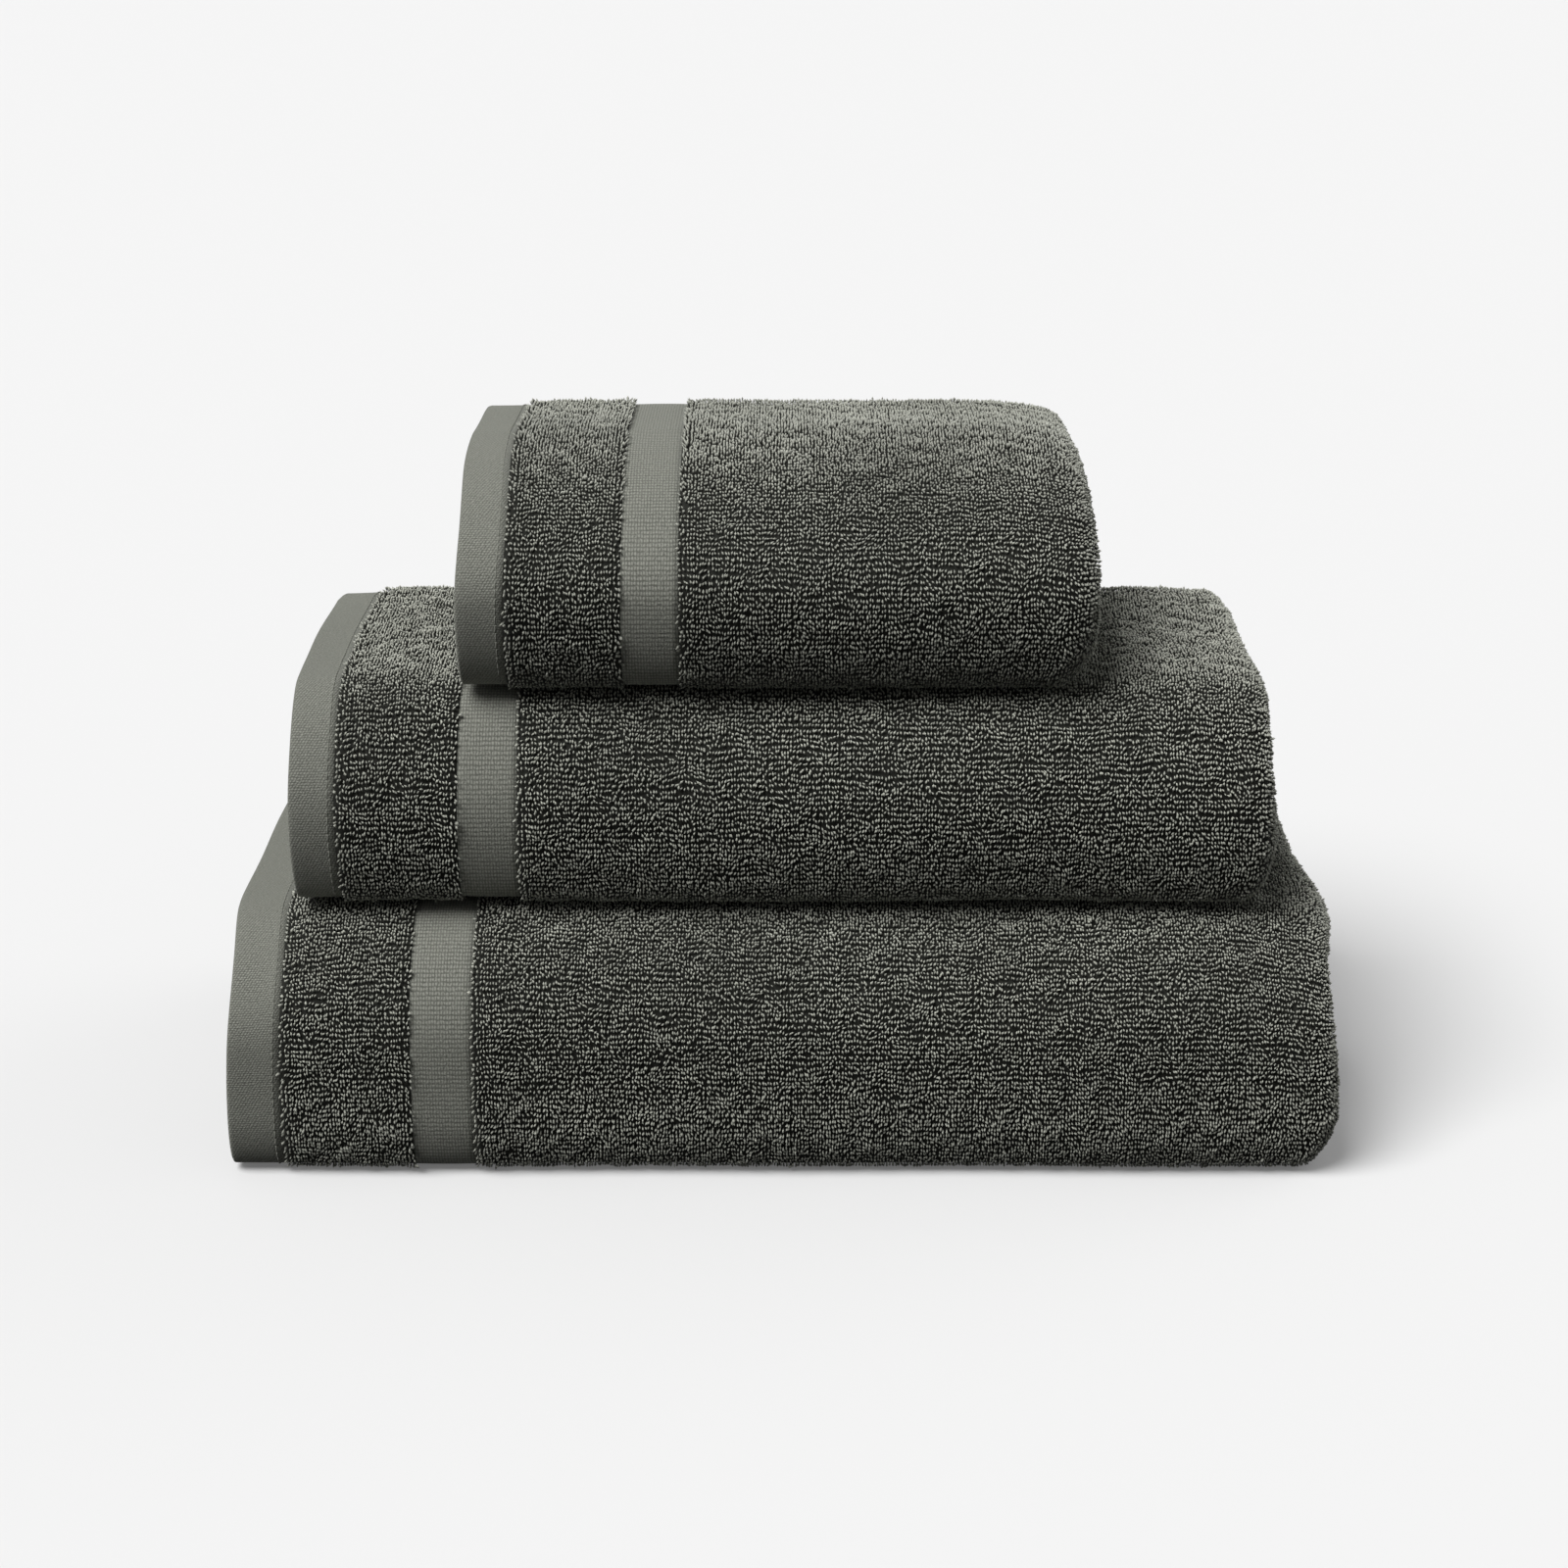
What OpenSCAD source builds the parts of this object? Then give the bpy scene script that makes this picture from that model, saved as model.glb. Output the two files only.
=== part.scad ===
// Bath towel set: a bath sheet, a bath towel and a hand towel, folded and stacked.
// Origin: centre of the bath sheet's underside. +X runs along the folded length, from the
// hemmed end at the left to the folded end at the right. The front folds face -Y.
// Each towel is one cloth. Its zones, its other end tucked inside, its side hems and its
// sewing threads are separate pieces, and the plies between them are the inner folds.

/* [Bath sheet] */
// Length of the bath sheet laid flat
sheet_length = 1600; // [1400:10:1900]
// Width of the bath sheet laid flat
sheet_width = 900; // [760:10:1080]
// Thickness of one ply of the bath sheet in the stack
sheet_ply = 5.85; // [4.8:0.05:7]
// Width of the bath sheet's end hem
sheet_hem_width = 19; // [14:0.5:26]
// Width of the terry strip between the bath sheet's end hem and its woven band
sheet_strip_width = 48; // [36:0.5:60]
// Width of the bath sheet's woven band
sheet_band_width = 21; // [12:0.5:30]

/* [Bath towel] */
// Length of the bath towel laid flat
bath_length = 1400; // [1200:10:1500]
// Width of the bath towel laid flat
bath_width = 700; // [600:10:840]
// Thickness of one ply of the bath towel in the stack
bath_ply = 5; // [4.2:0.05:6]
// Width of the bath towel's end hem
bath_hem_width = 16.5; // [12:0.5:24]
// Width of the terry strip between the bath towel's end hem and its woven band
bath_strip_width = 44; // [34:0.5:56]
// Width of the bath towel's woven band
bath_band_width = 20; // [12:0.5:28]
// Distance from the bath sheet's front fold back to the bath towel's
bath_setback = 21; // [0:0.5:40]
// Sideways offset of the bath towel on the bath sheet
bath_shift = -1.7; // [-10:0.1:10]

/* [Hand towel] */
// Length of the hand towel laid flat
hand_length = 900; // [740:10:1000]
// Width of the hand towel laid flat
hand_width = 500; // [420:10:600]
// Thickness of one ply of the hand towel in the stack
hand_ply = 6.3; // [5:0.05:7.6]
// Width of the hand towel's end hem
hand_hem_width = 16.5; // [12:0.5:22]
// Width of the terry strip between the hand towel's end hem and its woven band
hand_strip_width = 42; // [30:0.5:50]
// Width of the hand towel's woven band
hand_band_width = 19; // [12:0.5:26]
// Distance from the bath sheet's front fold back to the hand towel's
hand_setback = 27.5; // [0:0.5:60]
// Sideways offset of the hand towel on the bath towel
hand_shift = -3; // [-10:0.1:10]

/* [Folding] */
// Plies that the folding of the length makes
length_plies = 4; // [4]
// Plies that the folding of the two larger towels' width makes
large_width_plies = 4; // [4]
// Plies that the folding of the hand towel's width makes
hand_width_plies = 3; // [3]
// Gap that the model keeps between towels resting on each other
rest_gap = 0.3; // [0.2:0.1:1]

/* [Pile and side hems] */
// Height of the terry loops over the hem and the band
pile_height = 2; // [1:0.1:2.6]
// Width of the side hems
side_hem_width = 8; // [6:0.5:12]

/* [Edges] */
// Radius of the top of each front fold
front_top_radius = 30; // [20:1:34]
// Radius of the bottom of each front fold
front_bottom_radius = 13; // [8:0.5:18]
// Radius of the folded end's edges
end_radius = 14; // [8:0.5:18]

/* [Hidden] */
TOWELS = ["bath_sheet", "bath_towel", "hand_towel"];
PIECES = [
    "terry_field", "border_strip", "woven_band", "end_hem", "end_hem_thread",
    "far_end_border", "inner_folds", "side_hems", "side_hem_thread"
];

flat_length = [sheet_length, bath_length, hand_length];
flat_width = [sheet_width, bath_width, hand_width];
ply = [sheet_ply, bath_ply, hand_ply];
width_plies = [large_width_plies, large_width_plies, hand_width_plies];
setback = [0, bath_setback, hand_setback];
shift = [0, bath_shift, hand_shift];
hem_width = [sheet_hem_width, bath_hem_width, hand_hem_width];
strip_width = [sheet_strip_width, bath_strip_width, hand_strip_width];
band_width = [sheet_band_width, bath_band_width, hand_band_width];

arc_steps = 8;            // straight steps in a quarter turn
least_radius = 0.4;       // smallest radius left on an inner corner
side_recess = 3;          // side hems lie this far in from the back fold
core_recess = 2;          // inner folds lie this far in from the hemmed end
far_end_recess = 4;       // far end lies this far in from the near one
thread_width = 1;         // width of a row of stitches
thread_height = 0.4;      // stitches stand this far over the cloth
end_thread_inset = 2.2;   // row of stitches to the end hem's inner edge
side_thread_inset = 2;    // row of stitches to the side hem's inner edge
side_hem_clearance = 0.5; // half of the gap between two side hems
over = 1;                 // a cut runs this far past what it cuts

terry_colour = [0.33, 0.34, 0.31];
weave_colour = [0.45, 0.46, 0.43];
thread_colour = [0.40, 0.41, 0.38];

// Folded sizes of towel i.
function folded_length(i) = flat_length[i] / length_plies;
function folded_depth(i) = flat_width[i] / width_plies[i];
function folded_height(i) = ply[i] * length_plies * width_plies[i];
function floor_height(i) = i == 0 ? 0 : floor_height(i - 1) + folded_height(i - 1) + rest_gap;

// The open sides of the cloth lie at the bottom of the back, and a fold lies over them.
open_layers = 1;
function side_plies(i) = length_plies * (width_plies[i] == 3 ? open_layers : 2 * open_layers);
function parting_height(i) = side_plies(i) * ply[i];
function back_radius(i) = (folded_height(i) - parting_height(i)) / 2;
function side_start(i) = folded_depth(i) - side_recess - side_hem_width;
function band_start(i) = hem_width[i] + strip_width[i];
function border_width(i) = band_start(i) + band_width[i];

// Points of an arc, in equal steps of angle.
function arc(centre_y, centre_z, r, from, to) = [
    for (k = [0 : arc_steps])
        let (a = from + (to - from) * k / arc_steps)
        [centre_y + r * cos(a), centre_z + r * sin(a)]
];

// Radius of a corner seen from a depth of t under the surface.
function inner_radius(r, t) = max(r - t, least_radius);

// Outline of towel i across its length, at a depth of t under its surface.
// The lower back edge is at y = low_back, and the skin ends under the back fold.
function outline(i, t, low_back) =
    let (
        h = folded_height(i),
        rb = inner_radius(front_bottom_radius, t),
        rt = inner_radius(front_top_radius, t),
        rf = inner_radius(back_radius(i), t),
        fold_y = folded_depth(i) - back_radius(i),
        fold_z = h - back_radius(i)
    )
    concat(
        [[low_back, t]],
        arc(t + rb, t + rb, rb, 270, 180),
        arc(t + rt, h - t - rt, rt, 180, 90),
        arc(fold_y, fold_z, rf, 90, -90),
        [[fold_y, parting_height(i)], [low_back, parting_height(i)]]
    );

// Towel i in its own frame to its place in the stack.
module in_stack(i) {
    translate([
        shift[i] - folded_length(i) / 2,
        setback[i] - sheet_width / large_width_plies / 2,
        floor_height(i)
    ])
        children();
}

// A flat outline in Y and Z, drawn out along X.
module along_length(from, to) {
    translate([from, 0, 0]) rotate([90, 0, 90]) linear_extrude(height = to - from) children();
}

// The cloth between two depths under the surface, as a band round the fold.
module wrap(i, from, to, depth, under) {
    along_length(from, to)
        difference() {
            polygon(outline(i, depth, side_start(i)));
            polygon(outline(i, under, side_start(i) + over));
        }
}

// Everything deeper than t, from one place along the length to the folded end.
module block(i, t, from, low_back) {
    end = folded_length(i) - t;
    r = inner_radius(end_radius, t);
    h = folded_height(i);
    d = folded_depth(i);
    intersection() {
        along_length(from, end) polygon(outline(i, t, low_back));
        translate([0, d + over, 0]) rotate([90, 0, 0]) linear_extrude(height = d + 2 * over)
            polygon(concat(
                [[from - over, t - over], [end - r, t - over]],
                arc(end - r, t + r, r, -90, 0),
                arc(end - r, h - t - r, r, 0, 90),
                [[end - r, h + over], [from - over, h + over]]
            ));
        translate([0, 0, -over]) linear_extrude(height = h + 2 * over)
            polygon(concat(
                [[from - over, t - over], [end - r, t - over]],
                arc(end - r, t + r, r, -90, 0),
                [[end, d + over], [from - over, d + over]]
            ));
    }
}

// Long terry loops, from the woven band to the folded end.
module terry_field(i) {
    color(terry_colour)
        in_stack(i)
            difference() {
                block(i, 0, border_width(i), side_start(i));
                block(i, ply[i], border_width(i) - over, side_start(i) + over);
            }
}

// Terry loops between the end hem and the woven band.
module border_strip(i) {
    color(terry_colour)
        in_stack(i) wrap(i, hem_width[i], band_start(i), 0, ply[i]);
}

// Flat band woven with no loops.
module woven_band(i) {
    color(weave_colour)
        in_stack(i) wrap(i, band_start(i), border_width(i), pile_height, ply[i]);
}

// Flat end of the cloth, turned under and sewn.
module end_hem(i) {
    color(weave_colour)
        in_stack(i) wrap(i, 0, hem_width[i], pile_height, ply[i]);
}

// Row of stitches that holds the end hem.
module end_hem_thread(i) {
    start = hem_width[i] - end_thread_inset - thread_width;
    color(thread_colour)
        in_stack(i)
            wrap(i, start, start + thread_width, pile_height - thread_height, pile_height);
}

// Border of the cloth's other end, one ply down.
module far_end_border(i) {
    color(weave_colour)
        in_stack(i) wrap(i, far_end_recess, border_width(i), ply[i], 2 * ply[i]);
}

// The plies that lie inside the outer one.
module inner_folds(i) {
    color(terry_colour)
        in_stack(i)
            union() {
                along_length(core_recess, border_width(i) + over)
                    polygon(outline(i, 2 * ply[i], side_start(i)));
                block(i, ply[i], border_width(i), side_start(i));
            }
}

// The cloth's long edges, turned and sewn, one on each ply at the lower back.
module side_hems(i) {
    color(weave_colour)
        in_stack(i)
            for (k = [0 : side_plies(i) - 1])
                translate([core_recess, side_start(i), k * ply[i] + side_hem_clearance])
                    cube([
                        folded_length(i) - end_radius - core_recess,
                        side_hem_width,
                        ply[i] - 2 * side_hem_clearance
                    ]);
}

// Rows of stitches on the side hems.
module side_hem_thread(i) {
    color(thread_colour)
        in_stack(i)
            for (k = [0 : side_plies(i) - 1])
                translate([
                    core_recess + thread_width,
                    side_start(i) + side_thread_inset,
                    (k + 1) * ply[i] - side_hem_clearance
                ])
                    cube([
                        folded_length(i) - end_radius - core_recess - 2 * thread_width,
                        thread_width,
                        thread_height
                    ]);
}

for (i = [0 : len(TOWELS) - 1]) {
    terry_field(i);
    border_strip(i);
    woven_band(i);
    end_hem(i);
    end_hem_thread(i);
    far_end_border(i);
    inner_folds(i);
    side_hems(i);
    side_hem_thread(i);
}
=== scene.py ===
"""Looks of a folded bath towel set: a bath sheet, a bath towel and a hand towel.

Each towel is one cloth, folded in code: its length in quarters, then its width in quarters or
thirds. A place on the cloth is given as (x, w, h): x along the folded length, w along the
cloth's width as it wraps round the section, and h above the ground weave. Ground, hems, bands,
stitches and terry loops are all made in that space and folded together.
"""

import math

import bmesh
import bpy
import numpy as np
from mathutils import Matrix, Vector


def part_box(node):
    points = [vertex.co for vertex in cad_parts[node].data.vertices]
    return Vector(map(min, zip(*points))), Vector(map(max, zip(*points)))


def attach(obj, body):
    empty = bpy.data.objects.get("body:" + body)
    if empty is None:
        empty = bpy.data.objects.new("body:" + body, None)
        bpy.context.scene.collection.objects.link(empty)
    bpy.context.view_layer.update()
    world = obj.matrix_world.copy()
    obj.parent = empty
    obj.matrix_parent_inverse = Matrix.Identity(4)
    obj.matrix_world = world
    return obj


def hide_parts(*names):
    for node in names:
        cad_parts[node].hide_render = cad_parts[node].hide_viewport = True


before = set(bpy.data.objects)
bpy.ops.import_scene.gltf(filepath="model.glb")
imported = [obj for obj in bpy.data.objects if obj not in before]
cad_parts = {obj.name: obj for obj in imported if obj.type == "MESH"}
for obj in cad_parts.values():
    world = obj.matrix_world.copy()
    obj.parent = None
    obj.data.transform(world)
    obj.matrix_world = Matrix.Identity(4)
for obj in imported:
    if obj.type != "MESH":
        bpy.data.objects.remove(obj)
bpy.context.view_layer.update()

MM = 0.001
LENGTH_PLIES = 4

# Each towel's flat width and length, and how many layers its width is folded into.
# puff: how far its top rises where nothing lies on it. The number after it lifts or lowers the
# shade of all its loops: painted light, for how much light reaches that towel.
# bottom, top: how far back, and up or down, the rounded bottom and top of its front run.
# spread: how much its folds lengthen it. corners, droop: how far the top corners of its front
# draw in and its top sinks, each at the hemmed end and at the folded end.
TOWELS = {
    "bath_sheet": {
        "flat": (0.900, 1.600), "layers": 4, "seed": 11, "puff": 1.8 * MM, "tone": 0.15,
        "bottom": (11 * MM, 24 * MM), "top": (46 * MM, 44 * MM), "spread": 0.5 * MM,
        "corners": (2.5 * MM, 4 * MM), "droop": (4 * MM, 6 * MM),
    },
    "bath_towel": {
        "flat": (0.700, 1.400), "layers": 4, "seed": 23, "puff": 1.8 * MM, "tone": 0.22,
        "bottom": (20 * MM, 37 * MM), "top": (37 * MM, 41 * MM), "spread": 3 * MM,
        "corners": (1.2 * MM, 1.5 * MM), "droop": (1 * MM, 1.5 * MM),
    },
    "hand_towel": {
        "flat": (0.500, 0.900), "layers": 3, "seed": 37, "puff": 5.5 * MM, "tone": -0.1,
        "bottom": (19 * MM, 33 * MM), "top": (95 * MM, 41 * MM), "spread": 1 * MM,
        "corners": (1.5 * MM, 1 * MM), "droop": (0.5 * MM, 3 * MM),
    },
}

# Section of the folded towel.
PILE = 2.0 * MM  # terry loops stand this far over the ground weave
PLY_GAP = 0.15 * MM  # half of the gap between two plies
HEM_HALF = 1.35 * MM  # half of a turned hem's thickness
HEM_COVER = 0.6 * MM  # thickness of a hem over the cloth inside it
INNER_HALF = 0.5 * MM  # half of the cloth's thickness inside a side hem
SIDE_HEM = 8 * MM
SIDE_RECESS = 3 * MM  # open sides lie this far in from the back fold
NEAR_INSET = 1.2 * MM  # cloth starts this far inside the end hem's edge
FAR_INSET = 4 * MM  # far end lies this far in from the near one
FOLD_INSET = 2.5 * MM  # inner folds at the hemmed end lie this far in
BAND_DROP = 0.35 * MM  # ground weave lies this far under the woven band
BAND_THICK = 0.5 * MM
BAND_CROWN = 0.12 * MM  # the woven band's middle stands this far over its edges
BAND_LAP = 0.6 * MM  # the woven band reaches this far under the pile beside it

# How a folded towel gives.
FRONT_LEAN = 4 * MM  # the front's top leans back this far
FRONT_DEEP = 75 * MM  # the front's lean and wander fade out this far back
FRONT_WANDER = 0.9 * MM
FRONT_WAVE = 70 * MM
TOP_WANDER = 0.4 * MM
TOP_WAVE = 60 * MM
END_WANDER = 1.1 * MM  # of the folded end
HEM_WANDER = 0.5 * MM  # of the hemmed end
END_WAVE = 45 * MM
PUFF_REACH = 22 * MM  # a free top is fully puffed up this far from the next towel
SAG_LIMIT = 3 * MM  # a towel's front sags this far at most onto the one under it
END_REACH = 60 * MM  # what happens at the ends and the front's corners fades out over this
DROOP_REACH = 34 * MM  # an end droops over this length
BACK_TUCK = 5 * MM  # the hemmed end's back corner draws in this far
BACK_TUCK_REACH = 28 * MM
FOOT_TUCK = 3 * MM  # the folded end's foot draws in this far
FOOT_SHARE = 0.25  # share of the height over which it does

# Terry loops.
LOOP_STEP_X = 1.10 * MM
LOOP_STEP_W = 1.83 * MM
LOOP_HALF_X = 0.34 * MM
LOOP_HALF_W = 0.74 * MM
LOOP_SINK = 0.05 * MM  # loops start this far inside the ground weave
LOOP_WAVER_X = 0.14  # how unevenly loops stand in their rows, in steps
LOOP_WAVER_W = 0.13
LOOP_SLANT = 20  # how much loops turn, in degrees: each by itself, and in drifts
DRIFT_SLANT = 26
LOOP_SPREAD = 0.13  # how much loops vary in size
CLUMP_SIZE = 5.5 * MM
DRIFT_SIZE_X = 7 * MM
DRIFT_SIZE_W = 8 * MM
PATCH_SIZE = 45 * MM
ROW_DRIFT = 0.35 * MM  # whole rows stray this far
CLUMP_TALL = 0.15  # how much loops vary in height: in clumps, and each by itself
TALL_SPREAD = 0.12
LONG_SHARE = 0.03  # this share of the loops is longer, by this much
LONG_LOOP = 1.3
LEAN_DRIFT_X = 0.22 * MM  # how far tips lean in drifts
LEAN_DRIFT_W = 0.30 * MM
LEAN_SPREAD_X = 0.16  # how far each tip leans by itself, in millimetres
LEAN_SPREAD_W = 0.22
RING_LEAN = 0.6  # how far the widest ring leans with its tip
LOOP_PRESSED = 0.45  # loops under the towel are this much shorter
LOOPS_IN_A_PIECE = 24000
UNDER_REACH = 6 * MM  # loops of the front go on this far under the towel
PILE_MARGIN = 2 * MM  # pile ends this far from the cloth's sides and from the back fold's foot
FOLD_SHARE = (0.04, 0.96)  # part of an inner fold that has loops
EDGE_INSET = 1.1 * MM  # loops at a pile edge stand this far in and lean out over it
EDGE_REACH = 1.9 * MM  # loops this close to a pile edge lean out
EDGE_LEAN = 1.15  # how far they do, and by how much that varies, in millimetres
EDGE_LEAN_SPREAD = 0.5
EDGE_TALL = 0.3  # how much taller they are, in millimetres
PATCH_SHADE = 0.16  # how much loops vary in shade: in patches, in clumps, and each by itself
CLUMP_SHADE = 0.14
SHADE_SPREAD = 0.11


def smooth_step(value, start, end):
    """0 before start, 1 after end, and a smooth rise between."""
    t = np.clip((value - start) / (end - start), 0.0, 1.0)
    return t * t * (3 - 2 * t)


def soft_noise(points, size, seed, waves=14):
    """Smooth noise, mostly from -1 to 1, with features about as wide as size."""
    rng = np.random.default_rng(seed)
    total = np.zeros(len(points))
    for _ in range(waves):
        direction = rng.normal(size=points.shape[1])
        direction /= np.linalg.norm(direction)
        stride = 2 * math.pi / (size * rng.uniform(1.3, 2.8))
        total += np.sin(points @ direction * stride + rng.uniform(0, 2 * math.pi))
    return total / math.sqrt(waves / 2) / 1.6


class QuarterArc:
    """A quarter of an ellipse, from the front (0) to the top or the bottom (1), in even steps."""

    def __init__(self, deep, high):
        angle = np.linspace(0, math.pi / 2, 65)
        speed = np.hypot(deep * np.sin(angle), high * np.cos(angle))
        run = np.concatenate([[0], np.cumsum((speed[1:] + speed[:-1]) / 2)])
        self.deep, self.high = deep, high
        self.length = run[-1] * angle[1]
        self.shares, self.angles = run / run[-1], angle

    def offsets(self, part, share):
        """How far back from the front and in from the top or bottom, at a share of full size."""
        a = np.interp(part, self.shares, self.angles)
        return self.deep * share * (1 - np.cos(a)), self.high * share * (1 - np.sin(a))


class Towel:
    """One folded towel: its sizes from the frame, and the map from cloth to space."""

    def __init__(self, name, above=None, below=None):
        self.name = name
        self.below = below
        own = TOWELS[name]
        self.flat, self.layers, self.seed = own["flat"], own["layers"], own["seed"]
        self.rise, self.tone, self.spread = own["puff"], own["tone"], own["spread"]
        self.corners, self.droop = own["corners"], own["droop"]
        self.top = QuarterArc(*own["top"])
        self.bottom = QuarterArc(*own["bottom"])
        low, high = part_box(f"{name}_terry_field")
        hem_low, hem_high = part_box(f"{name}_end_hem")
        band_low, band_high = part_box(f"{name}_woven_band")
        self.corner = np.array([hem_low[0], low[1], low[2]])
        self.length = high[0] - hem_low[0]
        self.depth = high[1] - low[1]
        self.height = high[2] - low[2]
        self.hem = hem_high[0] - hem_low[0]
        self.band_start = band_low[0] - hem_low[0]
        self.band_end = band_high[0] - hem_low[0]
        self.ply = self.height / (LENGTH_PLIES * self.layers)
        self.group = LENGTH_PLIES * self.ply
        self.ground = self.group - PILE
        self.end_r = self.group / 2
        self.bend_x = self.length - self.end_r
        self.fold_y = self.depth - self.group
        self.side_y = self.depth - SIDE_RECESS
        self.stretches = self.measure_section()
        self.starts = np.concatenate([[0], np.cumsum(self.stretches)])
        self.width = self.starts[-1]
        self.load = None
        if above:
            low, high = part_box(f"{above}_terry_field")
            hem_low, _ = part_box(f"{above}_end_hem")
            self.load = (np.array([hem_low[0], low[1]]) - self.corner[:2],
                         np.array(high[:2]) - self.corner[:2])

    def share(self, inset):
        """How large the front's rounded corners are at a depth under the surface."""
        return 1 - 2 * inset / self.height

    def front_stretches(self, inset):
        """Lengths of the front's bottom arc, its upright part and its top arc."""
        share = self.share(inset)
        upright = self.height - 2 * inset - (self.bottom.high + self.top.high) * share
        return [self.bottom.length * share, upright, self.top.length * share]

    def measure_section(self):
        """Lengths of the section's stretches, on the ground weave."""
        share = self.share(PILE)
        outer = [self.side_y - PILE - self.bottom.deep * share, *self.front_stretches(PILE),
                 self.fold_y - PILE - self.top.deep * share, math.pi * self.ground]
        if self.layers == 3:
            return outer + [self.fold_y - self.group - SIDE_RECESS]
        middle = self.group * 1.5
        share = self.share(middle)
        return outer + [self.fold_y - middle - self.top.deep * share,
                        *self.front_stretches(middle)[::-1],
                        self.side_y - middle - self.bottom.deep * share]

    def section(self, w, c):
        """(y, z) at a distance w along the cloth's width and c up through its group of plies."""
        y, z = np.zeros_like(w), np.zeros_like(w)
        h = self.height
        index = np.searchsorted(self.starts, w, side="right") - 1
        index = np.clip(index, 0, len(self.stretches) - 1)
        part = (w - self.starts[index]) / np.array(self.stretches)[index]

        def straight(k, y0, z0, y1, z1):
            m = index == k
            y[m] = (y0 + (y1 - y0) * part)[m]
            z[m] = (z0 + (z1 - z0) * part)[m]

        def front(first, inset, from_bottom):
            """The front's three stretches, from k = first, and where their arcs end."""
            share = self.share(inset)
            rise = part if from_bottom else 1 - part
            low, upright, high = (first, first + 1, first + 2) if from_bottom else (
                first + 2, first + 1, first)
            back, up = self.bottom.offsets(1 - rise, share)
            m = index == low
            y[m], z[m] = (inset + back)[m], (inset + up)[m]
            back, down = self.top.offsets(rise, share)
            m = index == high
            y[m], z[m] = (inset + back)[m], (h - inset - down)[m]
            m = index == upright
            low_z, high_z = inset + self.bottom.high * share, h - inset - self.top.high * share
            y[m] = inset[m]
            z[m] = (low_z + (high_z - low_z) * rise)[m]
            return inset + self.bottom.deep * share, inset + self.top.deep * share

        outer, inner = self.group - c, self.group + c
        bottom_y, top_y = front(1, outer, True)
        straight(0, self.side_y, outer, bottom_y, outer)
        straight(4, top_y, h - outer, self.fold_y, h - outer)
        m = index == 5
        angle = np.radians(90 - 180 * part[m])
        y[m] = self.fold_y + c[m] * np.cos(angle)
        z[m] = h - self.group + c[m] * np.sin(angle)
        if self.layers == 3:
            straight(6, self.fold_y, h - inner, self.group + SIDE_RECESS, h - inner)
            return y, z
        bottom_y, top_y = front(7, inner, False)
        straight(6, self.fold_y, h - inner, top_y, h - inner)
        straight(10, bottom_y, inner, self.side_y, inner)
        return y, z

    def lean(self, y, rise):
        """How far the front leans back at a share of the towel's height."""
        return FRONT_LEAN * smooth_step(rise, 0.4, 1.0) * (1 - smooth_step(y, 0, FRONT_DEEP))

    def top_height(self, y):
        """Height of the towel's top at a distance back from its front."""
        back, down = self.top.offsets(np.linspace(0, 1, 40), 1.0)
        z = self.height - down
        return np.interp(y, back + self.lean(back, z / self.height), z)

    def puff(self, x, y):
        """From 0 under the next towel's weight to 1 where the top is free."""
        if self.load is None:
            across = np.clip(np.minimum(y, self.depth - y) / (0.5 * self.depth), 0, 1)
            return np.sqrt(across)
        low, high = self.load
        beside = np.maximum(low[0] - x, x - high[0])
        before = low[1] - y
        free = np.maximum(np.maximum(beside, before), 0)
        return smooth_step(free, 0, PUFF_REACH)

    def settle(self, p):
        """How the folded towel gives: its front leans back and sags onto the towel below, its
        free top puffs up, its corners draw in, its ends droop, and its faces wander a little."""
        x, y, z = p.T.copy()
        depth_left = self.depth - y
        near_front = 1 - smooth_step(y, 0, FRONT_DEEP)
        rise = z / self.height
        y += self.lean(p[:, 1], rise)
        y += FRONT_WANDER * soft_noise(p, FRONT_WAVE, self.seed) * near_front
        z += self.rise * rise * self.puff(p[:, 0], p[:, 1])
        z += TOP_WANDER * rise * (soft_noise(p, TOP_WAVE, self.seed + 1) - 0.8)
        if self.below:
            under = y + self.corner[1] - self.below.corner[1]
            slope = self.below.top_height(under) - self.below.height
            z += (1 - rise) * np.clip(slope, -SAG_LIMIT, 0)
        to_end = smooth_step(p[:, 0], 0.6 * self.length, self.length)
        at_end = smooth_step(p[:, 0], self.length - END_REACH, self.length)
        at_hem = 1 - smooth_step(p[:, 0], 0, END_REACH)
        wander = END_WANDER * to_end + HEM_WANDER * at_hem
        x += wander * soft_noise(p, END_WAVE, self.seed + 2)
        x += self.spread * x / self.length
        top_corner = (1 - smooth_step(p[:, 1], 0, END_REACH)) * smooth_step(rise, 0.3, 1.0)
        x += top_corner * (self.corners[0] * at_hem - self.corners[1] * at_end)
        z -= 0.6 * top_corner * (self.corners[0] * at_hem + self.corners[1] * at_end)
        near_hem = 1 - smooth_step(p[:, 0], 0, DROOP_REACH)
        near_end = smooth_step(p[:, 0], self.length - DROOP_REACH, self.length)
        z -= rise * rise * (self.droop[0] * near_hem + self.droop[1] * near_end)
        x += BACK_TUCK * at_hem * (1 - smooth_step(depth_left, 0, BACK_TUCK_REACH))
        x -= FOOT_TUCK * at_end * (1 - smooth_step(rise, 0, FOOT_SHARE))
        return np.stack([x, y, z], 1)

    def place(self, x, w, c):
        """Points in space for places (x, w) on the cloth at c up through its group of plies."""
        y, z = self.section(w, c)
        return self.settle(np.stack([x, y, z], 1)) + self.corner

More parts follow.
